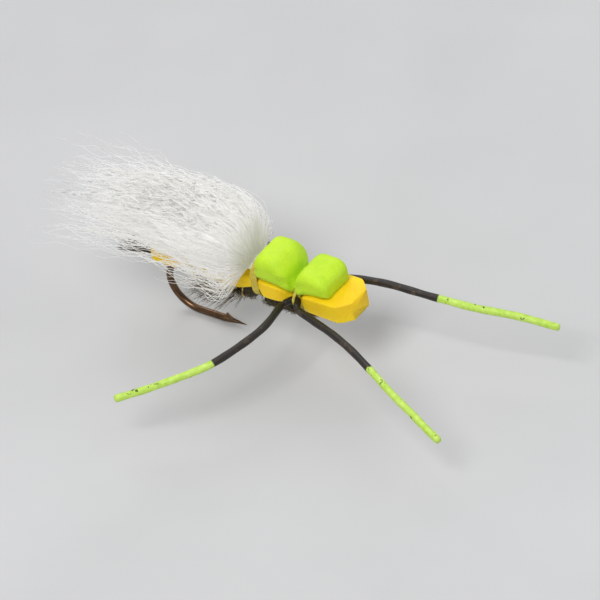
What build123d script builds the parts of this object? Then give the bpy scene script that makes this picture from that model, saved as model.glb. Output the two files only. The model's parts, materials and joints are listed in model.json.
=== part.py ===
from build123d import *
import os
from math import cos, exp, radians, sin, tan

# A foam-backed dry fly tied on a long-shank hook, in millimetres.
# Frame: the origin is the centre of the hook's eye, +X points ahead of the head,
# +Y to the fly's left and +Z up, away from the hook point.

# ---- hook
WIRE = 0.84  # wire diameter
EYE_RING = 0.95  # radius of the eye's centre line
EYE_BORE = 0.60  # radius of the eye's hole
BEND_START = -21.0  # where the shank turns into the bend
BEND_R = 3.6  # the gape is twice this
SPEAR = 3.6  # straight wire between the bend and the point's taper
POINT = 3.0  # length of the tapered point
BARB = 0.9  # length of the barb
BARB_RISE = 0.42  # how far the barb stands off the wire
BARB_WIDTH = 0.30

# ---- where each tie-down grips the shank
WAIST_X = -4.5
WING_TIE_X = -10.5
REAR_TIE_X = -19.5
BAND = 1.15  # length of a thread band along the shank
BAND_CLEAR = 0.75  # from the middle of a band to the fur beside it
THREAD = 0.21  # thread turn's diameter
TURNS = 5

# ---- thread base on the shank
BASE_R = 0.60
BASE_FRONT = -1.75
BASE_REAR = -20.6
THORAX_FRONT = -3.05

# ---- dubbed body under the foam
BODY_WIDTH = 3.0
BODY_TOP = 0.70
BODY_BOTTOM = -1.70
BODY_TAPER = 0.80  # size at the rear, as a share of the front
BODY_CORNER = 0.46  # corner radius as a share of the section's height
RIB_WIRE = 0.20
RIB_TURNS = 6
TURN_GAP = 0.02
QUILL = 0.14
BARB_LENGTH = 3.1  # a hackle barb, from quill to tip
BARB_ROOT = 0.085
BARB_TIP = 0.03
BARB_ANGLES = (-38, -28, -18, -8, 2)  # below the horizontal, on each side

# ---- lower foam strip
UNDER_REAR = -24.2
UNDER_WIDTH = 5.3
UNDER_LOW = 0.95
UNDER_HIGH = 3.0
TIED_WIDTH = 2.8
TIED_LOW = 0.66
TIED_HIGH = {WAIST_X: 1.62, WING_TIE_X: 2.0, REAR_TIE_X: 2.0}
PINCH_REACH = 1.2  # how far from a tie the foam is drawn in
REAR_LIFT = 0.30  # the free rear end curls up
HEAD_X = 3.4
HEAD_WIDTH = 5.9
HEAD_HIGH = 3.25
HEAD_CUT = 1.6  # the corners that scissors took off the head
STATIONS = 25  # sections along the strip

# ---- upper foam strip, with a lobe on each side of the waist
LOBE_PITCH = 5.6
LOBE_REACH = 2.45  # half a lobe's length
LOBE_WIDTH = 5.4
REAR_LOBE_TOP = 6.85
FRONT_LOBE_TOP = 6.05
LOBE_SQUARENESS = 3.0
LOBE_CORNER = 0.38  # corner radius as a share of the section's smaller side
LOBE_TIED_WIDTH = 2.5
LOBE_TIED_TOP = 2.80
THINNEST = 0.39  # the upper strip where thread crushes it
LOBE_STATIONS = (-1, -0.95, -0.72, -0.36, 0, 0.36, 0.72, 0.95, 1)
FOAM_GAP = 0.09

# ---- wing
WING_LENGTH = 28.5
WING_PIVOT = (WING_TIE_X - 0.95, 0, 3.65)
WING_LEAN = 5  # degrees that the bundle has settled to the fly's right

# ---- tail
TAIL_PIVOT = (-22.2, 0, 0.64)
TAIL_LENGTH = 9.0

# ---- rubber legs
LEG = 0.84  # strand diameter
LEG_GAP = 0.06  # running gap where one length of strand meets the next
LEG_ROOT = (0.95, 3.15, 1.45)  # ahead of or behind the waist, to the side, up
LEG_BOUND = 1.95  # how far off the centre line the thread holds a strand's middle
SIDES = {"left": 1, "right": -1}
# Each leg's route from its root: forwards, outwards and up. The middle point is where
# the dark length ends and the bright tip begins.
ROUTES = {
    "left_front": [(0, 0, 0), (6.8, 1.3, 0.40), (14.2, 1.9, 0.1), (21.5, 3.4, -0.5), (28.2, 5.2, -1.6)],
    "right_front": [(0, 0, 0), (6.4, 2.2, 0.20), (13.2, 4.6, -0.4), (19.8, 7.6, -1.3), (26.0, 9.8, -2.6)],
    "left_rear": [(0, 0, 0), (-4.8, 1.1, -0.3), (-10.8, 3.1, -0.8), (-17.0, 5.4, -1.5), (-23.0, 7.6, -2.3)],
    "right_rear": [(0, 0, 0), (0.4, 5.2, 0.25), (-1.6, 11.6, -0.3), (-5.6, 16.0, -1.2), (-10.2, 19.4, -2.6)],
}


def write(shape, name):
    shape.label = name
    export_step(shape, f"parts/{name}.step")


def across(x, z=0.0):
    """The plane across the fly at x: its own X is the fly's left, its own Y is up."""
    return Plane(origin=(x, 0, z), x_dir=(0, 1, 0), z_dir=(1, 0, 0))


def slab_section(x, width, low, high, round_share=0.46):
    """A rounded rectangle across the fly, from low to high."""
    height = high - low
    corner = round_share * min(width, height)
    return across(x, (low + high) / 2) * RectangleRounded(width, height, corner)


def slab(sections, round_share=0.46):
    """A closed form through rounded sections, each (x, width, low, high)."""
    return loft([slab_section(*s, round_share=round_share) for s in sections])


def turn(x, width, low, high, thickness, corner_share=0.42):
    """One turn of thread or wire that lies round a rounded rectangle."""
    grown_width, grown_height = width + thickness, high - low + thickness
    corner = corner_share * min(grown_width, grown_height)
    outline = across(x, (low + high) / 2) * RectangleRounded(grown_width, grown_height, corner)
    path = outline.face().outer_wire()
    section = Plane(origin=path @ 0, z_dir=path % 0) * Circle(thickness / 2)
    return sweep(section, path=path)


def band(centre, width, low, high, turns=TURNS, thickness=THREAD, length=BAND):
    """Turns of thread side by side, centred on a tie-down."""
    step = (length - thickness) / (turns - 1)
    first = centre - step * (turns - 1) / 2
    return Compound(children=[turn(first + i * step, width, low, high, thickness) for i in range(turns)])


def strand(points, radius):
    """A round strand through its points, its corners eased into arcs."""
    runs = [Vector(*b) - Vector(*a) for a, b in zip(points, points[1:])]
    turns = [a.get_angle(b) for a, b in zip(runs, runs[1:])]
    reach = [0.45 * min(a.length, b.length) for a, b in zip(runs, runs[1:])]
    radii = [r / tan(radians(t / 2)) for r, t in zip(reach, turns)]
    path = FilletPolyline(*points, radius=radii) if radii else Line(*points)
    section = Plane(origin=path @ 0, z_dir=path % 0) * Circle(radius)
    return sweep(section, path=path)


def body_size(x):
    """Width and underside of the dubbed body at x; it thins towards the rear."""
    along = (WING_TIE_X - x) / (WING_TIE_X - REAR_TIE_X)
    share = 1 - (1 - BODY_TAPER) * min(max(along, 0), 1)
    return BODY_WIDTH * share, BODY_BOTTOM * share


def spread(first, last, count):
    """Evenly spaced places from first to last."""
    return [first + (last - first) * i / (count - 1) for i in range(count)]


# ---------------------------------------------------------------- the hook and its thread base


def hook():
    wire_r = WIRE / 2
    gape = 2 * BEND_R
    spear_end = BEND_START + SPEAR
    shank = Line((-EYE_RING, 0, 0), (BEND_START, 0, 0))
    bend = ThreePointArc(
        (BEND_START, 0, 0), (BEND_START - BEND_R, 0, -BEND_R), (BEND_START, 0, -gape)
    )
    spear = Line((BEND_START, 0, -gape), (spear_end, 0, -gape))
    section = Plane(origin=(-EYE_RING, 0, 0), z_dir=(-1, 0, 0)) * Circle(wire_r)
    wire = sweep(section, path=Wire([shank, bend, spear]))
    taper = Plane(origin=(spear_end + POINT / 2, 0, -gape), z_dir=(1, 0, 0)) * Cone(wire_r, 0.03, POINT)
    ring = Torus(EYE_RING, wire_r)
    barb_foot = spear_end + 0.35
    barb_low = -gape + 0.1
    barb_top = -gape + wire_r + BARB_RISE
    wedge = Polygon(
        (barb_foot + BARB, barb_low), (barb_foot, barb_top), (barb_foot + 0.25, barb_low), align=None
    )
    barb = extrude(Plane.XZ * wedge, BARB_WIDTH / 2, both=True)
    return wire + taper + ring + barb - Cylinder(EYE_BORE, 2 * WIRE)


def thread_base():
    length = BASE_FRONT - BASE_REAR
    plane = Plane(origin=((BASE_FRONT + BASE_REAR) / 2, 0, 0), z_dir=(1, 0, 0))
    return plane * (Cylinder(BASE_R, length) - Cylinder(WIRE / 2, length))


def head_thread():
    """The turns behind the eye that end the tying."""
    places = spread(BASE_FRONT - 0.12, BASE_FRONT - 0.12 - (TURNS - 1) * THREAD * 1.02, TURNS)
    return Compound(children=[across(x) * Torus(BASE_R + THREAD / 2, THREAD / 2) for x in places])


def head_cement():
    """The bead of varnish that seals the thread against the eye."""
    bead = across((BASE_FRONT - EYE_RING - WIRE / 2) / 2) * Cylinder(BASE_R - 0.06, 0.34)
    return fillet(bead.edges(), 0.12) - across(0) * Cylinder(WIRE / 2, 8)


# ---------------------------------------------------------------- body, rib and hackle


def dubbing(front, rear):
    """Spun fur round the shank, flat where the foam lies on it."""
    sections = [
        (x, body_size(x)[0] * s, body_size(x)[1] * s, BODY_TOP - 0.06 * (1 - s))
        for x, s in zip(spread(front, rear, 4), (0.86, 1.0, 1.0, 0.86))
    ]
    return slab(sections, BODY_CORNER) - across(0) * Cylinder(BASE_R, 60)


def thorax():
    """The front of the body, parted by the waist's thread."""
    ahead = dubbing(THORAX_FRONT, WAIST_X + BAND_CLEAR)
    behind = dubbing(WAIST_X - BAND_CLEAR, WING_TIE_X + BAND_CLEAR)
    return Compound(children=[ahead, behind])


def body_turns(thickness, count, front, rear):
    """Turns that lie on the dubbed body, evenly spaced."""
    turns = []
    for x in spread(front, rear, count):
        width, low = body_size(x)
        turns.append(
            turn(x, width + 2 * TURN_GAP, low - TURN_GAP, BODY_TOP + TURN_GAP, thickness, BODY_CORNER)
        )
    return turns


def rib():
    return Compound(children=body_turns(RIB_WIRE, RIB_TURNS, WING_TIE_X - 1.7, REAR_TIE_X + 1.7))


def quill_places():
    pitch = (WING_TIE_X - REAR_TIE_X - 3.4) / (RIB_TURNS - 1)
    return WING_TIE_X - 1.7 - pitch / 2, REAR_TIE_X + 1.7 + pitch / 2, RIB_TURNS - 1


def hackle_quill():
    front, rear, count = quill_places()
    return Compound(children=body_turns(QUILL, count, front, rear))


def hackle_barbs():
    """Stiff barbs that stand out at each side of the body, clipped level underneath."""
    barbs = []
    for x in spread(*quill_places()):
        width, low = body_size(x)
        foot_out = width / 2 + QUILL + 0.02
        for side in SIDES.values():
            for i, angle in enumerate(BARB_ANGLES):
                lean = 14 * (i % 2) - 7
                length = BARB_LENGTH * (1 - 0.06 * (i % 3))
                way = Vector(-sin(radians(lean)), side * cos(radians(angle)), sin(radians(angle)))
                foot = Vector(x, side * foot_out, low * 0.42 * abs(angle) / 36 + 0.05)
                middle = foot + way * (length / 2)
                barbs.append(Plane(origin=middle, z_dir=way) * Cone(BARB_ROOT, BARB_TIP, length))
    return Compound(children=barbs)


# ---------------------------------------------------------------- foam


def held(x, ties):
    """From 0 to 1, how tightly the nearest of these ties draws the foam in at x."""
    return max(exp(-(((x - tie) / PINCH_REACH) ** 2)) for tie in ties)


def under_top(x):
    """The top of the lower strip at x."""
    head = min(max((x - WAIST_X) / 4, 0), 1)
    full = UNDER_HIGH + (HEAD_HIGH - UNDER_HIGH) * head
    return min(full - (full - top) * held(x, [tie]) for tie, top in TIED_HIGH.items())


def under_foam():
    """The lower strip: the fly's back from behind the bend to the blunt head."""
    sections = []
    for x in spread(UNDER_REAR, HEAD_X, STATIONS):
        grip = held(x, TIED_HIGH)
        head = min(max((x - WAIST_X) / 4, 0), 1)
        curl = REAR_LIFT * max((REAR_TIE_X - 1.5 - x) / (REAR_TIE_X - 1.5 - UNDER_REAR), 0) ** 2
        full = UNDER_WIDTH + (HEAD_WIDTH - UNDER_WIDTH) * head
        low = UNDER_LOW - (UNDER_LOW - TIED_LOW) * grip
        sections.append((x, full - (full - TIED_WIDTH) * grip, low + curl, under_top(x) + curl))
    strip = slab(sections, 0.30)
    for side in SIDES.values():
        corner = Polygon(
            (HEAD_X - HEAD_CUT, side * (HEAD_WIDTH / 2 + 0.1)),
            (HEAD_X + 1, side * (HEAD_WIDTH / 2 + 0.1)),
            (HEAD_X + 1, side * (HEAD_WIDTH / 2 - HEAD_CUT - 1)),
            align=None,
        )
        strip -= extrude(corner, 6, both=True)
    return strip


def lobe_section(x, crown, swell):
    """The upper strip's section at x, where swell is 0 at a tie and 1 at a lobe's crown."""
    low = under_top(x) + FOAM_GAP
    width = LOBE_TIED_WIDTH + (LOBE_WIDTH - LOBE_TIED_WIDTH) * swell
    tied_top = max(LOBE_TIED_TOP, low + THINNEST)
    return x, width, low, tied_top + (crown - tied_top) * swell


def indicator_foam():
    """The bright upper strip, tied under the wing and pinched at the waist into two lobes."""
    rear, front = WAIST_X - LOBE_PITCH / 2, WAIST_X + LOBE_PITCH / 2
    tied_low = TIED_HIGH[WING_TIE_X] + FOAM_GAP
    sections = [
        (x, LOBE_TIED_WIDTH, tied_low, tied_low + THINNEST) for x in (WING_TIE_X - 0.5, WING_TIE_X + 0.2)
    ]
    for centre, crown, last in ((rear, REAR_LOBE_TOP, 1), (front, FRONT_LOBE_TOP, 0.95)):
        for t in LOBE_STATIONS:
            if t <= last:
                swell = (1 - abs(t) ** LOBE_SQUARENESS) ** (1 / LOBE_SQUARENESS)
                sections.append(lobe_section(centre + t * LOBE_REACH, crown, swell))
    return slab(sections, LOBE_CORNER)


# ---------------------------------------------------------------- wing and tail


def wing_butts():
    """The trimmed ends of the wing's fibres, under their thread."""
    front, rear = WING_TIE_X + 0.35, WING_TIE_X - 0.8
    return slab([(front, 2.2, 2.64, 3.2), (WING_TIE_X, 2.7, 2.62, 3.4), (rear, 2.9, 2.90, 3.9)])


def wing():
    """The fibre bundle as one closed form: narrow at its tie, and bushy from just behind it."""
    root = WING_PIVOT[0] - 0.1
    stations = [
        (0.00, 3.4, 3.35, 4.7),
        (0.06, 7.2, 3.42, 8.0),
        (0.16, 11.2, 3.65, 10.0),
        (0.36, 13.4, 4.20, 11.0),
        (0.60, 14.0, 4.45, 11.2),
        (0.85, 13.0, 4.80, 10.8),
        (1.00, 11.0, 5.20, 10.0),
    ]
    bundle = slab([(root - s * WING_LENGTH, w, low, high) for s, w, low, high in stations])
    return bundle.rotate(Axis(WING_PIVOT, (0, 0, 1)), WING_LEAN)


def tail_butts():
    """The hairs' tied-down ends, between the rear tie and the tail's hinge."""
    rear = TAIL_PIVOT[0] + 0.12
    return slab([(-20.75, 1.2, 0.50, 0.78), (-21.6, 1.4, 0.46, 0.84), (rear, 1.4, 0.42, 0.86)], 0.4)


def tail():
    """Speckled hairs behind the bend, as one closed form."""
    root = TAIL_PIVOT[0] - 0.05
    stations = [(0, 1.4, 0.42, 0.86), (0.3, 2.3, -0.1, 0.74), (0.7, 3.2, -0.7, 0.60), (1, 3.0, -1.05, 0.25)]
    return slab([(root - s * TAIL_LENGTH, w, low, high) for s, w, low, high in stations], 0.4)


# ---------------------------------------------------------------- rubber legs


def leg_root(name):
    """Where a leg swings: beside the waist, on its own side."""
    side, place = name.split("_")
    ahead, out, up = LEG_ROOT
    return Vector(WAIST_X + (ahead if place == "front" else -ahead), SIDES[side] * out, up)


def leg_points(name):
    side = SIDES[name.split("_")[0]]
    return [leg_root(name) + Vector(x, side * y, z) for x, y, z in ROUTES[name]]


def shortened(points, by):
    """The same points with the last one drawn back towards its neighbour."""
    back = (points[-2] - points[-1]).normalized() * by
    return points[:-1] + [points[-1] + back]


def ball_ended(points):
    """A strand whose first end is rounded about its swing point."""
    return strand(points, LEG / 2) + Pos(*points[0]) * Sphere(LEG / 2)


def leg(name):
    """The dark length of a leg, from its swing point to its bright tip."""
    return ball_ended(shortened(leg_points(name)[:3], LEG / 2 + LEG_GAP))


def leg_tip(name):
    """The bright end of the same strand."""
    return ball_ended(leg_points(name)[2:])


def leg_middle(side):
    """The middle of a strand, pinched against the waist between its two legs."""
    sign = SIDES[side]
    ahead, out, up = LEG_ROOT
    clear = LEG / 2 + LEG_GAP
    reach = ahead - 0.30
    places = [(-reach, out - clear), (-0.35, LEG_BOUND), (0.35, LEG_BOUND), (reach, out - clear)]
    return strand([Vector(WAIST_X + x, sign * y, up) for x, y in places], LEG / 2 - 0.04)


def leg_thread():
    """The last turns, outside the strands."""
    width = 2 * LEG_BOUND + LEG
    return band(WAIST_X, width, -0.62 - THREAD, 2.86 + THREAD, turns=2, length=0.5)


# ---------------------------------------------------------------- the fly

PIECES = {
    "hook": hook(),
    "thread_base": thread_base(),
    "head_thread": head_thread(),
    "head_cement": head_cement(),
    "thorax_dubbing": thorax(),
    "abdomen_dubbing": dubbing(WING_TIE_X - BAND_CLEAR, REAR_TIE_X + BAND_CLEAR),
    "rib_wire": rib(),
    "hackle_quill": hackle_quill(),
    "hackle_barbs": hackle_barbs(),
    "under_foam": under_foam(),
    "indicator_foam": indicator_foam(),
    "waist_thread": band(WAIST_X, 2.7, -0.62, 2.84),
    "leg_thread": leg_thread(),
    "wing_thread": band(WING_TIE_X, 3.3, -0.62, 3.55),
    "rear_thread": band(REAR_TIE_X, 2.9, -0.62, 2.02),
    "wing_butts": wing_butts(),
    "wing_fibres": wing(),
    "tail_butts": tail_butts(),
    "tail_fibres": tail(),
}
for side in SIDES:
    PIECES[f"{side}_leg_middle"] = leg_middle(side)
for leg_name in ROUTES:
    PIECES[f"{leg_name}_leg"] = leg(leg_name)
    PIECES[f"{leg_name}_leg_tip"] = leg_tip(leg_name)

os.makedirs("parts", exist_ok=True)
for piece_name, piece in PIECES.items():
    write(piece, piece_name)
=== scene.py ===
import json
from math import cos, pi, radians, sin

import bpy
import numpy as np
from mathutils import Matrix, Vector, noise


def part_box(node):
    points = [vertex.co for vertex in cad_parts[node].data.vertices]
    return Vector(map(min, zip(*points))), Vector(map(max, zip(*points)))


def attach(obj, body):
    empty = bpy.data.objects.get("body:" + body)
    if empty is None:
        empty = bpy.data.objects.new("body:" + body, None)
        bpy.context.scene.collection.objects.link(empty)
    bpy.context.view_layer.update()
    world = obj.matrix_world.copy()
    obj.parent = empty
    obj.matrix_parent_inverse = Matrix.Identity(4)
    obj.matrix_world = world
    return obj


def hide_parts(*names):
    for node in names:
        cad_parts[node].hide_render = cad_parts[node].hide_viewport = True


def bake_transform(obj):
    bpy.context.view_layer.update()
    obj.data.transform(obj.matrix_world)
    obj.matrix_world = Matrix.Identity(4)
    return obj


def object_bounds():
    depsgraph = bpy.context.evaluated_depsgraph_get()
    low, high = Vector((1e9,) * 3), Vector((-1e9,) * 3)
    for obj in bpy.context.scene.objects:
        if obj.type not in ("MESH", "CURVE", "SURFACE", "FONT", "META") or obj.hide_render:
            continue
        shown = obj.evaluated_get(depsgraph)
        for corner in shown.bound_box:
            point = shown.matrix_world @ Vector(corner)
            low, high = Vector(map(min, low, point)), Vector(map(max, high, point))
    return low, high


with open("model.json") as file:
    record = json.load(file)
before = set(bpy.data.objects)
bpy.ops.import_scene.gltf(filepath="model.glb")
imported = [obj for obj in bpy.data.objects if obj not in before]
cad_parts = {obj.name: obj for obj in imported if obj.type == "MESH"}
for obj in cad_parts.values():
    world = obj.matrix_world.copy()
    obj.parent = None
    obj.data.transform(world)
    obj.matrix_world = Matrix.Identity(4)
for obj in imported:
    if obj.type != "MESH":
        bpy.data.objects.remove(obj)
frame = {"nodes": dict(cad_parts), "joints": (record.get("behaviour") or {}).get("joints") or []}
cad_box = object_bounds()

MM = 0.001
SEED = 11
rng = np.random.default_rng(SEED)


# ---------------------------------------------------------------- places, in mm, from the frame


def extent(node):
    """Lowest and highest corner of a CAD node, in mm."""
    low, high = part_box(node)
    return np.array(low) / MM, np.array(high) / MM


def middle(node):
    return sum(extent(node)) / 2


WAIST_X = middle("waist_thread")[0]
WING_TIE_X = middle("wing_thread")[0]
REAR_TIE_X = middle("rear_thread")[0]
FOAM_LOW, FOAM_HIGH = extent("under_foam")
LOBES_LOW, LOBES_HIGH = extent("indicator_foam")
JOINTS = {joint["name"]: joint for joint in frame["joints"]}


def pivot(joint_name):
    """A hinge's place, in mm."""
    return np.array(JOINTS[joint_name]["pos_m"]) / MM


# ---------------------------------------------------------------- mesh building


def unit(v):
    return v / np.maximum(np.linalg.norm(v, axis=-1, keepdims=True), 1e-12)


def as_object(name, verts, faces, material, smooth=True, **values):
    """A mesh object from points in mm. Each of values is a number for every point."""
    mesh = bpy.data.meshes.new(name)
    mesh.from_pydata((np.asarray(verts) * MM).tolist(), [], [list(map(int, f)) for f in faces])
    for key, numbers in values.items():
        attribute = mesh.attributes.new(key, "FLOAT", "POINT")
        attribute.data.foreach_set("value", np.asarray(numbers, np.float32).ravel())
    if smooth:
        mesh.shade_smooth()
    obj = bpy.data.objects.new(name, mesh)
    bpy.context.collection.objects.link(obj)
    mesh.materials.append(material)
    return obj


def rings_to_faces(rings, around, first=0):
    """Quads between rings of points, with a cap at each end."""
    i, j = np.meshgrid(np.arange(rings - 1), np.arange(around), indexing="ij")
    here, beside = i * around + j, i * around + (j + 1) % around
    quads = np.stack([here, beside, beside + around, here + around], -1).reshape(-1, 4) + first
    start = [first + k for k in range(around)][::-1]
    end = [first + (rings - 1) * around + k for k in range(around)]
    return quads.tolist() + [start, end]


def tubes(paths, radii, sides=3, squareness=2.0, twist=0.0):
    """Strands along paths (strands x points x 3). Returns points, faces and the place along each."""
    paths = np.asarray(paths, float)
    strands, count, _ = paths.shape
    radii = np.broadcast_to(np.asarray(radii, float), (strands, count))
    tangent = unit(np.gradient(paths, axis=1))
    reference = np.where(np.abs(tangent[:, :1, 2:3]) > 0.85, [[[1.0, 0.13, 0.0]]], [[[0.05, 0.02, 1.0]]])
    across = unit(np.cross(tangent, reference))
    upward = np.cross(across, tangent)
    angle = 2 * pi * np.arange(sides) / sides + twist * np.linspace(0, 1, count)[:, None]
    c, s = np.cos(angle), np.sin(angle)
    grow = (np.abs(c) ** squareness + np.abs(s) ** squareness) ** (-1 / squareness)
    sideways = across[:, :, None] * (c * grow)[None, :, :, None]
    out = sideways + upward[:, :, None] * (s * grow)[None, :, :, None]
    points = (paths[:, :, None] + out * radii[:, :, None, None]).reshape(-1, 3)
    faces = []
    for k in range(strands):
        faces += rings_to_faces(count, sides, k * count * sides)
    along = np.broadcast_to(np.linspace(0, 1, count)[None, :, None], (strands, count, sides)).ravel()
    return points, faces, along


def per_strand(numbers, count, sides):
    return np.repeat(np.asarray(numbers), count * sides)


def rounded_outline(width, low, high, corner, per_side=8, per_corner=8):
    """Points (y, z) round a rounded rectangle, starting on its left side at mid height."""
    corner = min(corner, 0.499 * width, 0.499 * (high - low))
    half, mid, tall = width / 2 - corner, (low + high) / 2, (high - low) / 2 - corner
    points = []
    for k, (sy, sz) in enumerate(((1, 1), (-1, 1), (-1, -1), (1, -1))):
        for a in np.linspace(k * pi / 2, (k + 1) * pi / 2, per_corner):
            points.append((sy * half + corner * cos(a), mid + sz * tall + corner * sin(a)))
        next_y, next_z = ((-1, 1), (-1, -1), (1, -1), (1, 1))[k]
        turned = (k + 1) * pi / 2
        end = (next_y * half + corner * cos(turned), mid + next_z * tall + corner * sin(turned))
        last = points[-1]
        for t in np.linspace(0, 1, per_side + 2)[1:-1]:
            points.append((last[0] + (end[0] - last[0]) * t, last[1] + (end[1] - last[1]) * t))
    return np.array(points)


def skin(xs, outlines):
    """A closed skin through outlines across the fly."""
    around = len(outlines[0])
    points = np.concatenate([np.column_stack([np.full(around, x), o]) for x, o in zip(xs, outlines)])
    return points, rings_to_faces(len(xs), around)


def wander(points, size, reach, seed=0.0):
    """Moves points by smooth noise, size mm at features of reach mm.

    The noise's offset comes from Blender's clock, so these small moves differ a little from run to run.
    """
    shift = [noise.noise_vector(Vector(p / reach) + Vector((seed, 0, 0))) for p in points]
    return points + size * np.array(shift)


def smooth_path(points, count):
    """A smooth line through given points, evenly divided."""
    p = np.asarray(points, float)
    padded = np.vstack([2 * p[0] - p[1], p, 2 * p[-1] - p[-2]])
    fine = []
    for a, b, c, d in zip(padded, padded[1:], padded[2:], padded[3:]):
        for t in np.linspace(0, 1, 24, endpoint=False):
            square, cube = (2 * a - 5 * b + 4 * c - d) * t**2, (3 * b - a - 3 * c + d) * t**3
            fine.append(0.5 * (2 * b + (c - a) * t + square + cube))
    fine = np.array(fine + [p[-1]])
    length = np.concatenate([[0], np.cumsum(np.linalg.norm(np.diff(fine, axis=0), axis=1))])
    at = np.linspace(0, length[-1], count)
    return np.column_stack([np.interp(at, length, fine[:, k]) for k in range(3)])


# ---------------------------------------------------------------- materials


def material(name):
    made = bpy.data.materials.new(name)
    made.use_nodes = True
    return made, made.node_tree, made.node_tree.nodes["Principled BSDF"]


def add(tree, kind, values=(), **settings):
    node = tree.nodes.new(kind)
    for key, value in settings.items():
        setattr(node, key, value)
    for key, value in dict(values).items():
        node.inputs[key].default_value = value
    return node


def join(tree, source, target):
    tree.links.new(source, target)


def object_noise(tree, scale, detail=3.0, roughness=0.55):
    place = add(tree, "ShaderNodeTexCoord")
    made = add(tree, "ShaderNodeTexNoise", {"Scale": scale, "Detail": detail, "Roughness": roughness})
    join(tree, place.outputs["Object"], made.inputs["Vector"])
    return made.outputs["Fac"]


def ramp(tree, source, stops):
    """Colours at places along a 0 to 1 value."""
    made = add(tree, "ShaderNodeValToRGB")
    elements = made.color_ramp.elements
    while len(elements) < len(stops):
        elements.new(0.5)
    for element, (place, colour) in zip(elements, stops):
        element.position = place
        element.color = (*colour, 1)
    join(tree, source, made.inputs["Fac"])
    return made.outputs["Color"]


def spread_of(tree, source, low, high):
    """A 0 to 1 value brought to low to high."""
    made = add(tree, "ShaderNodeMapRange", {"To Min": low, "To Max": high})
    join(tree, source, made.inputs["Value"])
    return made.outputs["Result"]


def bump(tree, shader, source, strength, distance):
    made = add(tree, "ShaderNodeBump", {"Strength": strength, "Distance": distance})
    join(tree, source, made.inputs["Height"])
    join(tree, made.outputs["Normal"], shader.inputs["Normal"])


def mix(tree, kind, factor, a, b):
    """Mixes two colours; factor is a number or a socket."""
    made = add(tree, "ShaderNodeMix", data_type="RGBA", blend_type=kind)
    for socket, value in ((made.inputs["Factor"], factor), (made.inputs["A"], a), (made.inputs["B"], b)):
        if isinstance(value, bpy.types.NodeSocket):
            join(tree, value, socket)
        else:
            socket.default_value = value
    return made.outputs["Result"]


def maths(tree, operation, a, b):
    made = add(tree, "ShaderNodeMath", operation=operation)
    for socket, value in ((made.inputs[0], a), (made.inputs[1], b)):
        if isinstance(value, bpy.types.NodeSocket):
            join(tree, value, socket)
        else:
            socket.default_value = value
    return made.outputs["Value"]


def attribute(tree, name):
    return add(tree, "ShaderNodeAttribute", attribute_name=name).outputs["Fac"]


def foam(name, light, deep):
    """Closed-cell foam: fine cells, a few open pores shown as painted shade, and a faintly mottled skin."""
    made, tree, shader = material(name)
    place = add(tree, "ShaderNodeTexCoord")
    cells = add(tree, "ShaderNodeTexVoronoi", {"Scale": 5200.0}, feature="SMOOTH_F1")
    pores = add(tree, "ShaderNodeTexVoronoi", {"Scale": 1500.0})
    for texture in (cells, pores):
        join(tree, place.outputs["Object"], texture.inputs["Vector"])
    tone = ramp(tree, object_noise(tree, 420.0, 5.0), [(0.3, deep), (0.7, light)])
    # Painted shade: the skin is darkened at each pore, standing in for the shade inside open pores that are
    # not modelled.
    painted_pore_shade = ramp(tree, pores.outputs["Distance"], [(0.0, (0.55, 0.55, 0.55)), (0.10, (1, 1, 1))])
    join(tree, mix(tree, "MULTIPLY", 0.55, tone, painted_pore_shade), shader.inputs["Base Color"])
    swell = maths(tree, "MULTIPLY", object_noise(tree, 900.0), 1.4)
    height = maths(tree, "ADD", cells.outputs["Distance"], swell)
    bump(tree, shader, height, 0.6, 0.00010)
    join(tree, spread_of(tree, object_noise(tree, 1100.0), 0.5, 0.72), shader.inputs["Roughness"])
    shader.inputs["Subsurface Weight"].default_value = 0.12
    shader.inputs["Subsurface Radius"].default_value = (0.8, 0.8, 0.3)
    shader.inputs["Subsurface Scale"].default_value = 0.0008
    return made


def fibre(name, stops, roughness=(0.35, 0.55), glow=0.0, painted_glow=0.0):
    """Fine strands coloured by their own tone, a little darker towards the root.

    Light passes through by a share of glow; painted_glow sets a painted glow, a warm white emission that
    stands in for light white fibres hand on to each other.
    """
    made, tree, shader = material(name)
    tone = ramp(tree, attribute(tree, "tone"), stops)
    shade = ramp(tree, attribute(tree, "along"), [(0.0, (0.90, 0.89, 0.87)), (0.25, (1, 1, 1))])
    join(tree, mix(tree, "MULTIPLY", 1.0, tone, shade), shader.inputs["Base Color"])
    join(tree, spread_of(tree, attribute(tree, "tone"), *roughness), shader.inputs["Roughness"])
    bump(tree, shader, object_noise(tree, 9000.0), 0.2, 0.00002)
    shader.inputs["Subsurface Weight"].default_value = glow
    shader.inputs["Subsurface Radius"].default_value = (1.0, 1.0, 0.95)
    shader.inputs["Subsurface Scale"].default_value = 0.0015
    # Painted glow: the strands emit a little warm white light, standing in for light scattered between white
    # fibres.
    shader.inputs["Emission Color"].default_value = (1.0, 0.975, 0.92, 1)
    shader.inputs["Emission Strength"].default_value = painted_glow
    return made


def barred_fibre(name, dark, light, bars, share):
    """Strands with light bars along them, as on a grizzly feather or a squirrel's hair."""
    made, tree, shader = material(name)
    along = attribute(tree, "along")
    place = maths(tree, "ADD", along, maths(tree, "MULTIPLY", attribute(tree, "tone"), 3.7))
    wave = maths(tree, "FRACT", maths(tree, "MULTIPLY", place, bars), 0.0)
    colours = [(0.0, dark), (1 - share - 0.08, dark), (1 - share, light), (0.97, light), (1.0, dark)]
    band = ramp(tree, wave, colours)
    tints = [(0.0, (0.55, 0.5, 0.45)), (0.5, (1, 1, 1)), (1.0, (1.2, 1.05, 0.8))]
    tint = ramp(tree, attribute(tree, "tone"), tints)
    join(tree, mix(tree, "MULTIPLY", 1.0, band, tint), shader.inputs["Base Color"])
    join(tree, spread_of(tree, attribute(tree, "tone"), 0.3, 0.5), shader.inputs["Roughness"])
    bump(tree, shader, object_noise(tree, 8000.0), 0.2, 0.00002)
    return made


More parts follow.
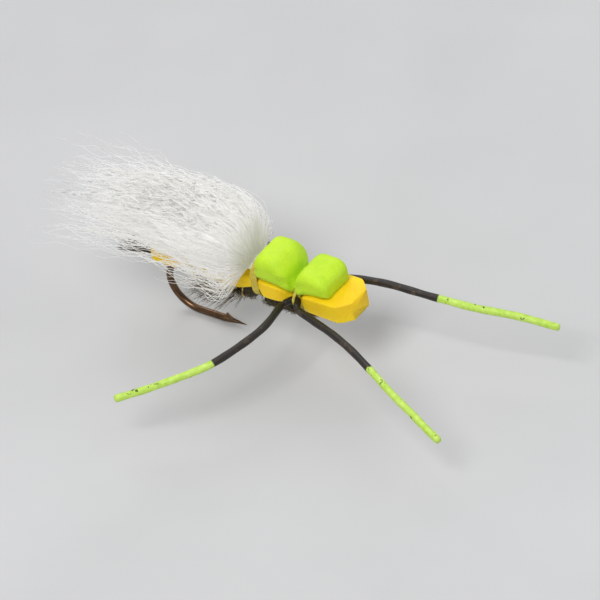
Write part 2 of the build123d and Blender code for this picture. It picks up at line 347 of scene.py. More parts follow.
def thread_look(name, light, deep):
    """Waxed thread: twisted filaments across each turn, with painted shade in the grooves between them."""
    made, tree, shader = material(name)
    place = add(tree, "ShaderNodeTexCoord")
    wave = {"Scale": 4200.0, "Distortion": 2.5, "Detail": 2.0}
    twist = add(tree, "ShaderNodeTexWave", wave, bands_direction="DIAGONAL")
    join(tree, place.outputs["Object"], twist.inputs["Vector"])
    tone = ramp(tree, object_noise(tree, 2600.0), [(0.3, deep), (0.7, light)])
    # Painted shade: the colour darkens where the twist's bump is low, in the grooves between filaments.
    painted_groove_shade = ramp(tree, twist.outputs["Fac"], [(0.0, (0.62, 0.62, 0.62)), (0.6, (1, 1, 1))])
    join(tree, mix(tree, "MULTIPLY", 0.8, tone, painted_groove_shade), shader.inputs["Base Color"])
    bump(tree, shader, twist.outputs["Fac"], 0.5, 0.00003)
    join(tree, spread_of(tree, object_noise(tree, 3000.0), 0.35, 0.6), shader.inputs["Roughness"])
    return made


def metal(name, light, deep, roughness, grain):
    made, tree, shader = material(name)
    shader.inputs["Metallic"].default_value = 1.0
    tone = ramp(tree, object_noise(tree, 700.0, 6.0), [(0.3, deep), (0.75, light)])
    join(tree, tone, shader.inputs["Base Color"])
    join(tree, spread_of(tree, object_noise(tree, grain, 4.0), *roughness), shader.inputs["Roughness"])
    bump(tree, shader, object_noise(tree, grain, 4.0), 0.12, 0.00002)
    return made


def rubber_leg():
    """One strand of soft rubber, near black with brown flecks and a dyed bright end."""
    made, tree, shader = material("rubber_leg")
    flecks = ramp(
        tree, object_noise(tree, 1300.0, 4.0, 0.7),
        [(0.0, (0.010, 0.007, 0.005)), (0.56, (0.017, 0.011, 0.008)), (0.66, (0.075, 0.045, 0.022))],
    )
    dyes = [(0.3, (0.42, 0.66, 0.05)), (0.7, (0.62, 0.84, 0.16))]
    bright = ramp(tree, object_noise(tree, 1500.0, 3.0), dyes)
    ragged = maths(tree, "MULTIPLY", maths(tree, "SUBTRACT", object_noise(tree, 2200.0), 0.5), 0.05)
    speck = ramp(tree, object_noise(tree, 1250.0, 2.0), [(0.655, (1, 1, 1)), (0.69, (0.06, 0.06, 0.02))])
    bright = mix(tree, "MULTIPLY", 0.9, bright, speck)
    dyed = maths(tree, "ADD", attribute(tree, "dye"), ragged)
    edge = ramp(tree, dyed, [(0.49, (0, 0, 0)), (0.51, (1, 1, 1))])
    join(tree, mix(tree, "MIX", edge, flecks, bright), shader.inputs["Base Color"])
    join(tree, spread_of(tree, object_noise(tree, 2000.0), 0.42, 0.62), shader.inputs["Roughness"])
    bump(tree, shader, object_noise(tree, 2600.0, 4.0), 0.3, 0.00005)
    return made


def varnish():
    made, tree, shader = material("varnish")
    tone = ramp(tree, object_noise(tree, 1500.0), [(0.3, (0.30, 0.20, 0.06)), (0.7, (0.46, 0.36, 0.12))])
    join(tree, tone, shader.inputs["Base Color"])
    join(tree, spread_of(tree, object_noise(tree, 900.0), 0.06, 0.16), shader.inputs["Roughness"])
    shader.inputs["Coat Weight"].default_value = 1.0
    return made


YELLOW_FOAM = foam("yellow_foam", (1.0, 0.70, 0.0), (0.96, 0.60, 0.0))
CHARTREUSE_FOAM = foam("chartreuse_foam", (0.60, 0.86, 0.02), (0.48, 0.76, 0.012))
WING_LOOK = fibre(
    "wing_yarn",
    [(0.0, (0.88, 0.865, 0.825)), (0.35, (0.955, 0.95, 0.925)), (1.0, (0.99, 0.985, 0.965))],
    glow=0.6,
    # The wing's painted glow: emission in place of light passed between its fibres.
    painted_glow=0.12,
)
DUBBING_LOOK = fibre(
    "dubbing_fur",
    [
        (0.0, (0.012, 0.010, 0.006)), (0.5, (0.045, 0.034, 0.014)),
        (0.8, (0.10, 0.075, 0.022)), (0.93, (0.42, 0.30, 0.06)),
    ],
    (0.4, 0.7),
)
HACKLE_LOOK = barred_fibre("barred_hackle", (0.016, 0.011, 0.007), (0.30, 0.20, 0.075), 2.6, 0.36)
TAIL_LOOK = barred_fibre("speckled_hair", (0.014, 0.010, 0.008), (0.33, 0.27, 0.19), 5.0, 0.28)
YELLOW_THREAD = thread_look("yellow_thread", (0.80, 0.68, 0.10), (0.56, 0.44, 0.05))
DARK_THREAD = thread_look("dark_thread", (0.060, 0.048, 0.030), (0.022, 0.017, 0.011))
RUBBER = rubber_leg()
BRONZE = metal("bronzed_wire", (0.21, 0.125, 0.07), (0.085, 0.048, 0.028), (0.22, 0.40), 5200.0)
RIB_METAL = metal("rib_metal", (0.86, 0.63, 0.24), (0.62, 0.41, 0.12), (0.2, 0.38), 6000.0)


def dress(node, look):
    """Gives a CAD node that stays in view its finished material."""
    obj = frame["nodes"][node]
    obj.data.materials.clear()
    obj.data.materials.append(look)


dress("hook", BRONZE)
dress("head_cement", varnish())


# ---------------------------------------------------------------- foam

UNDER_WIDTH = 5.3
TIED_WIDTH = 2.8
UNDER_FLAT_LOW, UNDER_FLAT_HIGH = 0.95, 3.0
TIED_LOW = 0.66
TIED_HIGH = {WAIST_X: 1.62, WING_TIE_X: 2.0, REAR_TIE_X: 2.0}
PINCH_REACH = 1.2
REAR_LIFT = 0.30
HEAD_WIDTH = 5.9
HEAD_TOP = 3.25
HEAD_CUT = 1.6
CUT_SHARPNESS = 12
FURROW = 0.10


def held(x, ties):
    """From 0 to 1, how tightly the nearest tie draws the foam in at x."""
    return max(np.exp(-(((x - tie) / PINCH_REACH) ** 2)) for tie in ties)


def headward(x):
    return min(max((x - WAIST_X) / 4, 0), 1)


def under_top(x):
    full = UNDER_FLAT_HIGH + (HEAD_TOP - UNDER_FLAT_HIGH) * headward(x)
    return min(full - (full - top) * held(x, [tie]) for tie, top in TIED_HIGH.items())


def furrowed(points, centre_z, ties):
    """Draws shallow furrows into the foam, fanning away from each tie."""
    moved = points.copy()
    for tie in ties:
        from_tie = np.abs(points[:, 0] - tie)
        angle = np.arctan2(points[:, 2] - centre_z, points[:, 1])
        depth = np.exp(-((from_tie - 0.9) / 0.8) ** 2) * (0.5 + 0.5 * np.cos(9 * angle + 1.7 * tie))
        away = unit(np.column_stack([np.zeros(len(points)), points[:, 1], points[:, 2] - centre_z]))
        moved -= FURROW * depth[:, None] * away
    return moved


def under_foam():
    """The yellow strip, cut from sheet: flat skins, square sides and a scissored head."""
    rear, front = FOAM_LOW[0], FOAM_HIGH[0]
    xs = np.concatenate([np.linspace(rear, rear + 0.5, 6)[:-1], np.linspace(rear + 0.5, front, 130)])
    outlines = []
    for x in xs:
        grip = held(x, TIED_HIGH)
        curl = REAR_LIFT * max((REAR_TIE_X - 1.5 - x) / (REAR_TIE_X - 1.5 - FOAM_LOW[0]), 0) ** 2
        full = UNDER_WIDTH + (HEAD_WIDTH - UNDER_WIDTH) * headward(x)
        low = UNDER_FLAT_LOW - (UNDER_FLAT_LOW - TIED_LOW) * grip
        edge = 0.16 + 0.5 * grip
        width = full - (full - TIED_WIDTH) * grip
        outlines.append(rounded_outline(width, low + curl, under_top(x) + curl, edge))
    points, faces = skin(xs, outlines)
    points = wander(points, 0.16, 4.0, 3.1)
    points = furrowed(points, 1.8, TIED_HIGH)
    past = np.maximum(points[:, 0] - (FOAM_HIGH[0] - HEAD_CUT), 0)
    widest = HEAD_WIDTH / 2 + 0.1 - 1.0 * past
    points[:, 1] *= (1 + (np.abs(points[:, 1]) / widest) ** CUT_SHARPNESS) ** (-1 / CUT_SHARPNESS)
    made = as_object("yellow_under_foam", points, faces, YELLOW_FOAM)
    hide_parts("under_foam")
    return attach(made, "fly")


LOBE_PITCH = 5.6
LOBE_REACH = 2.45
LOBE_SQUARENESS = 3.0
LOBE_CORNER = 0.34
LOBE_TIED_WIDTH = 2.5
LOBE_TIED_TOP = 2.8
FRONT_LOBE_TOP = 6.05
THINNEST = 0.39
FOAM_GAP = 0.05


def lobe_swell(x):
    """0 where the upper strip is tied and 1 at each lobe's crown."""
    best = 0.0
    for centre in (WAIST_X - LOBE_PITCH / 2, WAIST_X + LOBE_PITCH / 2):
        t = min(abs(x - centre) / LOBE_REACH, 1)
        best = max(best, (1 - t**LOBE_SQUARENESS) ** (1 / LOBE_SQUARENESS))
    return best


def indicator_foam():
    """The chartreuse strip, puffed into two lobes by the thread between them."""
    rear, front = LOBES_LOW[0], LOBES_HIGH[0]
    xs = np.concatenate([np.linspace(rear, front - 0.5, 120), np.linspace(front - 0.5, front, 12)[1:]])
    widest = LOBES_HIGH[1] - LOBES_LOW[1]
    outlines = []
    for x in xs:
        swell = lobe_swell(x)
        crown = FRONT_LOBE_TOP if x > WAIST_X else LOBES_HIGH[2]
        low = under_top(x) + FOAM_GAP
        tied_top = max(LOBE_TIED_TOP, low + THINNEST) if x > WING_TIE_X + 1 else low + THINNEST
        top = tied_top + (crown - tied_top) * swell
        width = LOBE_TIED_WIDTH + (widest - LOBE_TIED_WIDTH) * swell
        outlines.append(rounded_outline(width, low, top, LOBE_CORNER * min(width, top - low), 7, 10))
    points, faces = skin(xs, outlines)
    points = wander(points, 0.22, 3.6, 9.4)
    points = furrowed(points, 3.6, [WAIST_X, WING_TIE_X])
    made = as_object("chartreuse_indicator", points, faces, CHARTREUSE_FOAM)
    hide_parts("indicator_foam")
    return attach(made, "fly")


# ---------------------------------------------------------------- thread


def snug(low, high, radius):
    """A rounded outline for thread that fills its CAD node."""
    width, height = high[1] - low[1] - 2 * radius, high[2] - low[2] - 2 * radius
    return rounded_outline(width, low[2] + radius, high[2] - radius, 0.42 * min(width, height))


def over_legs(low, high, radius):
    """Thread drawn tight from the crease between the lobes, over both strands, to the shank."""
    strand_high, strand_low = middle("left_leg_middle")[2] + 0.36, middle("left_leg_middle")[2] - 0.36
    wide = extent("left_leg_middle")[0][1] + 0.80
    top, bottom = high[2] - radius, low[2] + radius
    half = [
        (0.0, top), (0.8, top - 0.02), (1.2, top - 0.22),
        (wide - 0.12, strand_high + 0.12), (wide, strand_high - 0.15),
        (wide, strand_low + 0.15), (wide - 0.14, strand_low - 0.10),
        (0.75, bottom + 0.12), (0.45, bottom), (0.0, bottom),
    ]
    return np.array(half + [(-y, z) for y, z in half[-2:0:-1]])


def wound(name, node, look, turns, radius, outline_of=snug, narrowed=0.0):
    """Thread wound round what its CAD node encloses, as one continuous spiral."""
    low, high = extent(node)
    outline = outline_of(low, high, radius)
    outline = outline * [1 - narrowed, 1]
    closed = np.vstack([outline, outline[:1]])
    length = np.concatenate([[0], np.cumsum(np.linalg.norm(np.diff(closed, axis=0), axis=1))])
    t = np.linspace(0, 1, turns * 56 + 1)
    at = t * turns % 1 * length[-1]
    x = low[0] + radius + (high[0] - low[0] - 2 * radius) * t + 0.03 * np.sin(2 * pi * turns * t * 0.37)
    path = np.column_stack([x, np.interp(at, length, closed[:, 0]), np.interp(at, length, closed[:, 1])])
    points, faces, along = tubes(path[None], radius, 8)
    made = as_object(name, points, faces, look, along=along)
    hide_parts(node)
    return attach(made, "fly")


# ---------------------------------------------------------------- body, rib and hackle

BODY_WIDTH, BODY_TOP, BODY_BOTTOM, BODY_TAPER = 3.0, 0.70, -1.70, 0.80
BODY_ROUND = 0.46  # corner radius as a share of the body's height
THORAX_FRONT = -3.05
BAND_CLEAR = 0.75  # from the middle of a thread band to the fur beside it
THORAX_SPANS = [(THORAX_FRONT, WAIST_X + BAND_CLEAR), (WAIST_X - BAND_CLEAR, WING_TIE_X + BAND_CLEAR)]
ABDOMEN_SPANS = [(WING_TIE_X - BAND_CLEAR, REAR_TIE_X + BAND_CLEAR)]


def body_size(x):
    along = min(max((WING_TIE_X - x) / (WING_TIE_X - REAR_TIE_X), 0), 1)
    share = 1 - (1 - BODY_TAPER) * along
    return BODY_WIDTH * share, BODY_BOTTOM * share


def body_outline(x, grown=0.0):
    width, low = body_size(x)
    corner = BODY_ROUND * (BODY_TOP - low) + grown
    return rounded_outline(width + 2 * grown, low - grown, BODY_TOP + grown, corner)


def on_body(x, share, grown=0.0):
    """The point a share of the way round the dubbed body at x, and its outward direction."""
    outline = body_outline(x, grown)
    place = share % 1 * len(outline)
    a, b = outline[int(place) % len(outline)], outline[(int(place) + 1) % len(outline)]
    y, z = a + (b - a) * (place % 1)
    centre = (BODY_TOP + body_size(x)[1]) / 2
    return np.array([x, y, z]), unit(np.array([0, y, z - centre]))


def dubbing(name, node, spans, fibres):
    """Fur spun on thread: a lumpy sleeve with loose ends lying round it."""
    parts, faces, along, tone = [], [], [], []
    count, total = 6, 0
    for front, rear in spans:
        xs = np.linspace(front, rear, 40)
        ease = np.clip(np.minimum(xs[0] - xs, xs - xs[-1]) / 0.45, 0, 1) ** 0.5
        outlines = []
        for x, eased in zip(xs, ease):
            (wide, low), full = body_size(x), 0.5 + 0.5 * eased
            top, corner = BODY_TOP * (0.9 + 0.1 * eased), BODY_ROUND * (BODY_TOP - low) * full
            outlines.append(rounded_outline(wide * full, low * full, top, corner))
        points, made = skin(xs, outlines)
        points = wander(wander(points, 0.16, 0.5, 5.0), 0.10, 0.17, 8.0)
        parts.append(points)
        faces += [[i + total for i in f] for f in made]
        along += [1.0] * len(points)
        tone += list(np.clip(0.35 + 0.5 * np.array([noise.noise(Vector(p * 3.1)) for p in points]), 0, 0.9))
        total += len(points)
    reach = sum(a - b for a, b in spans)
    for front, rear in spans:
        n = int(fibres * (front - rear) / reach)
        paths = []
        for _ in range(n):
            x, share = rng.uniform(rear + 0.1, front - 0.1), rng.uniform(0, 1)
            swing, drift = rng.normal(0, 0.10), rng.normal(-0.25, 0.5)
            lift = rng.uniform(0.05, 0.42) * (1 if 0.28 < share % 1 or share % 1 > 0.97 else 0.2)
            path = []
            for t in np.linspace(0, 1, count):
                point, out = on_body(np.clip(x + drift * t, rear, front), share + swing * t)
                path.append(point + out * (lift * t**1.5 + 0.02) + rng.normal(0, 0.02, 3))
            paths.append(path)
        points, made, place = tubes(np.array(paths), np.linspace(0.028, 0.010, count)[None], 3)
        parts.append(points)
        faces += [[i + total for i in f] for f in made]
        along += list(place)
        tone += list(per_strand(rng.uniform(0.1, 1.0, n) ** 1.3, count, 3))
        total += len(points)
    made = as_object(name, np.concatenate(parts), faces, DUBBING_LOOK, along=along, tone=tone)
    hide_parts(node)
    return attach(made, "fly")


def spiral_on_body(node, turns, radius, grown, start=0.0):
    """A wire's path along the dubbed body, over the stretch that its CAD turns cover."""
    low, high = extent(node)
    path = []
    for t in np.linspace(0, 1, turns * 48 + 1):
        x = high[0] - radius + (low[0] - high[0] + 2 * radius) * t
        path.append(on_body(x, start + turns * t, grown)[0])
    return np.array(path)


RIB_TURNS = 6
RIB_R = 0.10
RIB_LIFT = 0.12  # from the fur to the middle of the rib


def rib():
    path = spiral_on_body("rib_wire", RIB_TURNS, RIB_R, RIB_LIFT)
    points, faces, along = tubes(path[None], RIB_R, 8)
    made = as_object("gold_rib", points, faces, RIB_METAL, along=along)
    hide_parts("rib_wire")
    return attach(made, "fly")


HACKLE_TURNS = 6
QUILL_R = 0.06
BARBS = 560
BARB_REACH = 3.3
UNDERSIDE = -2.1  # barbs are clipped level below this


def hackle():
    """A feather wound along the body: its quill, and barbs that stand out at both sides."""
    path = spiral_on_body("hackle_quill", HACKLE_TURNS, 0.07, 0.10, 0.5)
    points, faces, along = tubes(path[None], QUILL_R, 6)
    quill = as_object("hackle_stem", points, faces, HACKLE_LOOK, along=along, tone=np.full(len(points), 0.3))
    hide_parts("hackle_quill")
    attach(quill, "fly")
    count, paths, tones = 9, [], []
    centre_z = (BODY_TOP + BODY_BOTTOM) / 2
    for _ in range(BARBS):
        foot = path[rng.integers(0, len(path))]
        side = 1 if foot[1] > 0 else -1
        if foot[2] > 0.2:
            foot = foot * [1, 1, 0] + [0, 0, 0.2]
        back, up = rng.normal(-0.28, 0.20), 0.75 * (foot[2] - centre_z) + rng.normal(0, 0.25)
        out = unit(np.array([back, side * abs(foot[1]) + 0.2 * side, up]))
        length = BARB_REACH * rng.uniform(0.75, 1.08)
        bend = rng.normal(0, 0.25, 3) + [-0.45, 0, -0.10]
        t = np.linspace(0, 1, count)[:, None]
        barb = foot + out * length * t + bend * t**2
        if barb[-1, 2] < UNDERSIDE:
            keep = np.clip((UNDERSIDE - foot[2]) / (barb[-1, 2] - foot[2]), 0.15, 1)
            barb = foot + out * length * t * keep + bend * (t * keep) ** 2
        barb[:, 2] = np.minimum(barb[:, 2], np.where(np.abs(barb[:, 1]) < 2.9, 0.80, 1.6))
        paths.append(barb)
        tones.append(rng.uniform(0, 1))
    points, faces, along = tubes(np.array(paths), np.linspace(0.042, 0.012, count)[None], 3)
    tone = per_strand(tones, count, 3)
    barbs = as_object("hackle_fibres", points, faces, HACKLE_LOOK, along=along, tone=tone)
    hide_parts("hackle_barbs")
    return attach(barbs, "fly")


# ---------------------------------------------------------------- wing and tail

WING_LENGTH = 28.5
WING_LEAN = radians(5)
FLARE = 0.11  # share of the wing's length over which it opens out from its tie
SWAY = 0.9  # how far the middle of the wing bows to the left
CRINKLE = 0.24  # usual half width of a fibre's waves
FIBRE_RADII = (0.032, 0.048)
ROOT_AHEAD = 0.30  # how far the fibres start in front of the hinge, under their thread
FOAM_CLEAR = 3.25  # fibres lie above this over the foam, and hang lower beside it
FOAM_SIDE, SIDE_REACH = 2.75, 1.1  # where fibres pass the foam's side, and over what width they turn down
HANG = 2.1  # how far below the foam's top they may hang there
DROP_ROOM, FOAM_BEHIND = 0.06, 14  # clearance gained per mm behind the hinge, as far as the foam goes
# Each group of fibres: clumps, fibres in each, shortest and longest share of the length, droop, looseness,
# how late the fibres open out, and points.
YARN = {
    "long_wing_fibres": (26, 18, (0.56, 1.0), 2.0, 0.32, (0.55, 2.2), 24),
    "middle_wing_fibres": (46, 20, (0.32, 0.68), 4.0, 0.30, (0.45, 1.8), 18),
    "bushy_wing_fibres": (62, 20, (0.12, 0.44), 6.5, 0.36, (0.08, 0.9), 14),
}


def wing_form(t, flare=FLARE):
    """Half width, centre height and half height of the wing at t, from 0 at its tie to 1 at its tips."""
    opened = 1 - np.exp(-((t / flare) ** 0.7))
    half_width = 2.1 + 4.75 * opened - 1.2 * t
    centre = 3.95 + 3.1 * opened + 0.6 * t
    half_height = 0.35 + 3.5 * opened - 0.8 * t
    return half_width, centre, half_height


def over_foam(y, z, behind):
    """Lifts what would pass through the lower foam, and lets the rest hang down at its sides.

    The clearance grows with the distance behind the hinge, which leaves the wing room to drop a little.
    """
    beside = np.clip((np.abs(y) - FOAM_SIDE) / SIDE_REACH, 0, 1)
    room = np.clip(behind, 0, FOAM_BEHIND) * DROP_ROOM
    return np.maximum(z, FOAM_CLEAR + room - HANG * beside * beside * (3 - 2 * beside))


def low_side(u, v):
    """How far a place in the bundle is out to a side and low, where fibres droop."""
    return np.clip(np.abs(u) - 0.30, 0, 1) * np.clip(0.60 - v, 0, 1.4)


def leaned(paths):
    """Turns paths to the wing's lean and brings them to its hinge."""
    turned = np.array(Matrix.Rotation(WING_LEAN, 3, "Z"))[:2, :2]
    paths[..., :2] = paths[..., :2] @ turned.T + pivot("wing_lift")[:2]
    return paths


def yarn(name, clumps, per_clump, lengths, droop, loose, lateness, points):
    """Crinkled fibres in clumps, each leaving the bundle a little sooner or later than the next."""
    s = np.linspace(0, 1, points)
    paths = []
    for _ in range(clumps):
        angle, out = rng.uniform(0, 2 * pi), rng.uniform(0, 1) ** 0.5
        clump = np.array([out * cos(angle), out * sin(angle)]) * 0.94
        sway, clump_length = rng.uniform(0, 2 * pi, 2), rng.uniform(0.88, 1.0)
        for _ in range(per_clump):
            place = clump + rng.normal(0, 0.13, 2)
            place /= max(np.linalg.norm(place), 1)
            share = clump_length * rng.uniform(*lengths)
            t = s * share
            half_width, centre, half_height = wing_form(t, FLARE * rng.uniform(*lateness))
            stray = rng.normal(0, loose, 2) * (1 if rng.uniform() < 0.88 else 2.4)
            u = place[0] + stray[0] * t**1.3 + 0.07 * np.sin(5.5 * t + sway[0]) * t
            v = place[1] + stray[1] * t**1.3 + 0.07 * np.sin(5.0 * t + sway[1]) * t
            fall = droop * low_side(u, v) * np.clip(t / 0.06, 0, 1) * (1 - 0.6 * t) * rng.uniform(0.6, 1.15)
            kinks, phase = rng.uniform(4, 9, 2) * share, rng.uniform(0, 2 * pi, 2)
            size = CRINKLE * rng.uniform(0.4, 1.4) * np.minimum(t * 7, 1)
            bow = SWAY * np.sin(pi * np.clip(t / 0.9, 0, 1.15))
            y = u * half_width + bow + size * np.sin(2 * pi * kinks[0] * s + phase[0])
            z = centre + v * half_height - fall + size * np.sin(2 * pi * kinks[1] * s + phase[1])
            x = ROOT_AHEAD - t * WING_LENGTH
            paths.append(np.column_stack([x, y, over_foam(y, z, -x)]))
    paths = leaned(np.array(paths))
    radii = rng.uniform(*FIBRE_RADII, len(paths))
    tones = np.clip(rng.normal(0.62, 0.24, len(paths)), 0, 1)
    taper = np.interp(s, [0, 0.8, 1], [1, 0.9, 0.35])
    verts, faces, along = tubes(paths, radii[:, None] * taper, 3)
    made = as_object(name, verts, faces, WING_LOOK, along=along, tone=per_strand(tones, points, 3))
    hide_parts("wing_fibres")
    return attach(made, "wing")


# The bundle's middle is made solid between these shares of the wing's length.
CORE_START, CORE_REACH = 0.012, 0.50
CORE_FILL = 0.66  # share of the wing's width and height
CORE_DROOP = 3.0


def packed_core():
    """The middle of the bundle, where fibres lie too close to tell apart: streaked along, ragged behind."""
    around, xs = 96, np.linspace(0, 1, 60)
    angle = 2 * pi * np.arange(around) / around
    rings = []
    for share in xs:
        t = CORE_START + share * (CORE_REACH - CORE_START)
        half_width, centre, half_height = wing_form(t)
        close = CORE_FILL * (1 - share**2.6) ** 0.5 + 0.02
        ragged = 1 + 0.09 * np.sin(17 * angle + 2) + 0.08 * np.sin(31 * angle + 5 * share)
        u, v = np.cos(angle) * close * ragged, np.sin(angle) * close * ragged
        y = u * half_width + SWAY * np.sin(pi * t / 0.9)
        z = centre + v * half_height - CORE_DROOP * low_side(u, v) * min(t / 0.13, 1)
        x = ROOT_AHEAD - t * WING_LENGTH
        rings.append(np.column_stack([np.full(around, x), y, over_foam(y, z, -x)]))
    verts = leaned(np.concatenate(rings))
    along = np.repeat(xs, around)
    streak = np.tile(0.62 + 0.20 * np.sin(23 * angle) + 0.12 * np.sin(41 * angle + 1), len(xs))
    faces = rings_to_faces(len(xs), around)
    made = as_object("packed_wing_core", verts, faces, WING_LOOK, along=along, tone=streak)
    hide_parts("wing_fibres")
    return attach(made, "wing")


BUTT_FIBRES = 150


def wing_butts():
    """The trimmed ends of the wing's fibres, packed under their thread."""
    low, high = extent("wing_butts")
    count, paths = 6, []
    for _ in range(BUTT_FIBRES):
        angle, out = rng.uniform(0, 2 * pi), rng.uniform(0, 1) ** 0.5
        u, v = out * cos(angle), out * sin(angle)
        t = np.linspace(0, 1, count)
        x = high[0] - rng.uniform(0, 0.25) + (low[0] - 0.35 - high[0]) * t
        y = u * (0.95 + 0.55 * t)
        z = 3.0 + 0.6 * t + v * (0.30 + 0.34 * t)
        paths.append(np.column_stack([x, y, z]))
    points, faces, along = tubes(np.array(paths), 0.045, 4)
    tone = per_strand(np.clip(rng.normal(0.55, 0.2, BUTT_FIBRES), 0, 1), count, 4)
    made = as_object("trimmed_wing_ends", points, faces, WING_LOOK, along=along, tone=tone)
    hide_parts("wing_butts")
    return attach(made, "fly")


def hair_bundle(name, node, body, count, start, end, spread_root, spread_tip, lengths, drop):
    """Stiff hairs from start to end, fanning out."""
    steps, paths = 10, []
    for _ in range(count):
        angle, out = rng.uniform(0, 2 * pi), rng.uniform(0, 1) ** 0.5
        u, v = out * cos(angle), out * sin(angle)
        t = np.linspace(0, rng.uniform(*lengths), steps)
        wide = spread_root[0] + (spread_tip[0] - spread_root[0]) * t
        tall = spread_root[1] + (spread_tip[1] - spread_root[1]) * t
        line = np.array(start) + (np.array(end) - np.array(start)) * t[:, None]
        sag = -drop * t**2 * (1 + 0.3 * v)
        paths.append(line + np.column_stack([0 * t, u * wide, v * tall + sag]))
    points, faces, along = tubes(np.array(paths), np.linspace(0.060, 0.018, steps)[None], 4)
    tone = per_strand(rng.uniform(0, 1, count), steps, 4)
    made = as_object(name, points, faces, TAIL_LOOK, along=along, tone=tone)
    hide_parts(node)
    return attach(made, body)


def tail():
    root = pivot("tail_lift")
    butt_front = extent("tail_butts")[1][0]
    tip = extent("tail_fibres")[0]
    hair_bundle(
        "tail_ends", "tail_butts", "fly", 60, (butt_front, 0, 0.62), (root[0] - 0.3, 0, root[2]),
        (0.45, 0.10), (0.6, 0.18), (0.95, 1.0), 0,
    )
    hair_bundle(
        "speckled_tail", "tail_fibres", "tail", 110, (root[0] + 0.15, 0, root[2]), (tip[0], 0, -0.15),
        (0.55, 0.16), (1.45, 0.62), (0.72, 1.0), 0.30,
    )


# ---------------------------------------------------------------- rubber legs

LEG_R = 0.42
# Each leg's route from its root: forwards, outwards and up. The dye begins at the middle point.
ROUTES = {
    "left_front": [(0, 0, 0), (6.8, 1.3, 0.40), (14.2, 1.9, 0.1), (21.5, 3.4, -0.5), (28.2, 5.2, -1.6)],
    "right_front": [(0, 0, 0), (6.4, 2.2, 0.20), (13.2, 4.6, -0.4), (19.8, 7.6, -1.3), (26.0, 9.8, -2.6)],
    "left_rear": [(0, 0, 0), (-4.8, 1.1, -0.3), (-10.8, 3.1, -0.8), (-17.0, 5.4, -1.5), (-23.0, 7.6, -2.3)],
    "right_rear": [(0, 0, 0), (0.4, 5.2, 0.25), (-1.6, 11.6, -0.3), (-5.6, 16.0, -1.2), (-10.2, 19.4, -2.6)],
}
SIDES = {"left": 1, "right": -1}
LEG_POINTS, LEG_SIDES = 90, 14
LEG_SQUARENESS = 3.4  # strands are slit from sheet, so they are squarish
LEG_TWIST = 0.8
DYE_REACH = 8.0  # the dye's value goes from 0 to 1 over this length, and its edge is at 0.5
MIDDLE_POINTS, MIDDLE_R = 40, 0.385


def rubber_leg_strand(name, route):
    side = SIDES[name.split("_")[0]]
    root = pivot(f"{name}_leg_swing")
    hinge = pivot(f"{name}_tip_bend")
    line = [root + np.array(p) * [1, side, 1] for p in route]
    path = smooth_path(line, LEG_POINTS)
    path[4:] = wander(path[4:], 0.20, 6.0, side * 2.0 + len(name))
    path[:4] = np.linspace(path[0], path[4], 5)[:4]
    far = np.argmin(np.linalg.norm(path - hinge, axis=1))
    length = np.concatenate([[0], np.cumsum(np.linalg.norm(np.diff(path, axis=0), axis=1))])
    root_round = np.clip(length / LEG_R, 0, 1)
    end_round = np.clip((length[-1] - length) / 0.10, 0, 1)
    radius = LEG_R * np.sqrt(1 - (1 - root_round) ** 2 + 1e-3) * (0.80 + 0.20 * np.sqrt(end_round))
    radius *= 1 + 0.03 * np.sin(length * 1.9)
    points, faces, along = tubes(path[None], radius[None] * 0.93, LEG_SIDES, LEG_SQUARENESS, LEG_TWIST)
    dye = np.repeat(np.clip(0.5 + (length - length[far]) / DYE_REACH, 0, 1), LEG_SIDES)
    made = as_object(f"{name}_rubber_leg", points, faces, RUBBER, along=along, dye=dye)
    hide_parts(f"{name}_leg", f"{name}_leg_tip")
    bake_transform(made)
    return made


def bound_middle(side_name):
    """The middle of a strand, pressed to the waist by thread, from one leg's root to the other's."""
    node = f"{side_name}_leg_middle"
    low, high = extent(node)
    side = SIDES[side_name]
    front, rear = pivot(f"{side_name}_front_leg_swing"), pivot(f"{side_name}_rear_leg_swing")
    bound = (low[1] if side > 0 else high[1]) + side * 0.38
    up = front[2]
    inner = [(WAIST_X + 0.35, bound, up), (WAIST_X, bound * 0.985, up), (WAIST_X - 0.35, bound, up)]
    path = smooth_path([front, *inner, rear], MIDDLE_POINTS)
    squeeze = 1 - 0.14 * np.exp(-(((path[:, 0] - WAIST_X) / 0.35) ** 2))
    step = np.arange(MIDDLE_POINTS)
    ends = np.clip(np.minimum(step, step[::-1]) / 3, 0.35, 1)
    points, faces, along = tubes(path[None], (MIDDLE_R * squeeze * ends)[None], LEG_SIDES, 2.6)
    undyed = np.zeros(len(points))
    made = as_object(f"{side_name}_strand_middle", points, faces, RUBBER, along=along, dye=undyed)
    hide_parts(node)
    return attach(made, "fly")


# ---------------------------------------------------------------- the fly

under_foam()
indicator_foam()
wound("shank_thread", "thread_base", DARK_THREAD, 92, 0.10)
wound("head_wraps", "head_thread", YELLOW_THREAD, 5, 0.105)
wound("waist_wraps", "waist_thread", YELLOW_THREAD, 6, 0.10)
wound("leg_wraps", "leg_thread", YELLOW_THREAD, 3, 0.10, over_legs)
wound("wing_wraps", "wing_thread", YELLOW_THREAD, 6, 0.10, narrowed=0.12)
wound("rear_wraps", "rear_thread", YELLOW_THREAD, 6, 0.10)
dubbing("thorax_fur", "thorax_dubbing", THORAX_SPANS, 800)
dubbing("abdomen_fur", "abdomen_dubbing", ABDOMEN_SPANS, 950)
rib()
hackle()
packed_core()
for group, how in YARN.items():
    yarn(group, *how)
wing_butts()
tail()
for leg_name, leg_route in ROUTES.items():
    rubber_leg_strand(leg_name, leg_route)
for side_word in SIDES:
    bound_middle(side_word)


# ---------------------------------------------------------------- stage, light and camera

FLOOR_DROP = 0.00002
VIEW_AZIMUTH, VIEW_ELEVATION, VIEW_ROLL = radians(42), radians(39), radians(-11.3)
VIEW_DISTANCE = 0.8
VIEW_WIDTH = 0.068
VIEW_SHIFT = (0.0055, 0.0012)  # to the right and up in the picture
SENSOR = 36.0


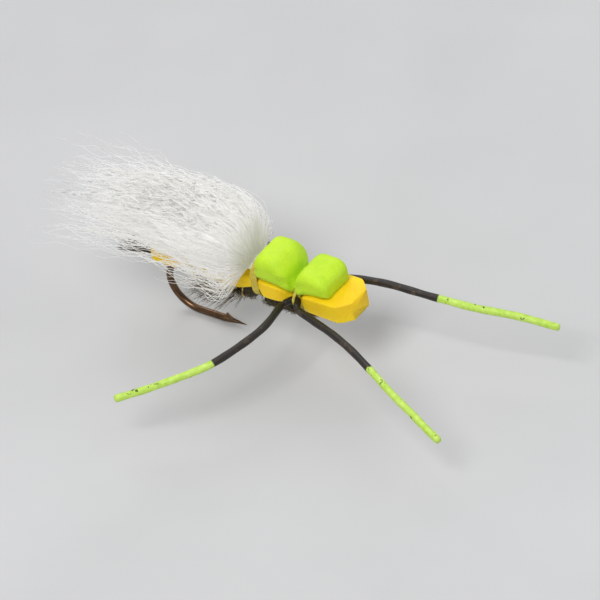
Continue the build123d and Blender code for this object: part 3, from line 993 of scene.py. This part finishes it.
def floor():
    made, tree, shader = material("floor")
    tone = ramp(tree, object_noise(tree, 30.0), [(0.3, (0.56, 0.56, 0.555)), (0.7, (0.60, 0.60, 0.595))])
    join(tree, tone, shader.inputs["Base Color"])
    shader.inputs["Roughness"].default_value = 0.8
    z = cad_box[0][2] - FLOOR_DROP
    corners = [(x, y, z / MM) for x, y in ((-3000, -3000), (3000, -3000), (3000, 3000), (-3000, 3000))]
    plane = as_object("floor", corners, [[0, 1, 2, 3]], made, smooth=False)


def lamp(name, place, power, size, aim):
    light = bpy.data.lights.new(name, "AREA")
    light.energy = power
    light.size = size
    obj = bpy.data.objects.new(name, light)
    obj.location = place
    obj.rotation_euler = (Vector(aim) - Vector(place)).to_track_quat("-Z", "Y").to_euler()
    bpy.context.collection.objects.link(obj)


def camera():
    low, high = (Vector(c) for c in cad_box)
    away = Vector((
        sin(VIEW_AZIMUTH) * cos(VIEW_ELEVATION), -cos(VIEW_AZIMUTH) * cos(VIEW_ELEVATION), sin(VIEW_ELEVATION)
    ))
    turn = (-away).to_track_quat("-Z", "Y").to_matrix().to_4x4() @ Matrix.Rotation(VIEW_ROLL, 4, "Z")
    aim = (low + high) / 2 + turn.to_3x3() @ Vector((*VIEW_SHIFT, 0))
    data = bpy.data.cameras.new("camera")
    data.sensor_width = SENSOR
    data.lens = SENSOR * VIEW_DISTANCE / VIEW_WIDTH
    data.clip_start, data.clip_end = 0.01, 20
    obj = bpy.data.objects.new("camera", data)
    obj.matrix_world = Matrix.Translation(aim + away * VIEW_DISTANCE) @ turn
    bpy.context.collection.objects.link(obj)
    bpy.context.scene.camera = obj


def studio():
    world = bpy.data.worlds.new("studio")
    world.use_nodes = True
    background = world.node_tree.nodes["Background"]
    background.inputs["Color"].default_value = (0.93, 0.95, 1.0, 1)
    background.inputs["Strength"].default_value = 0.42
    bpy.context.scene.world = world
    aim = (-0.012, 0, 0.002)
    lamp("key", (0.05, -0.35, 0.55), 2.6, 0.30, aim)
    lamp("fill", (0.45, 0.25, 0.35), 0.7, 0.5, aim)
    lamp("back", (-0.35, 0.35, 0.45), 1.2, 0.4, aim)


floor()
studio()
camera()
bpy.context.scene.view_settings.view_transform = "Standard"
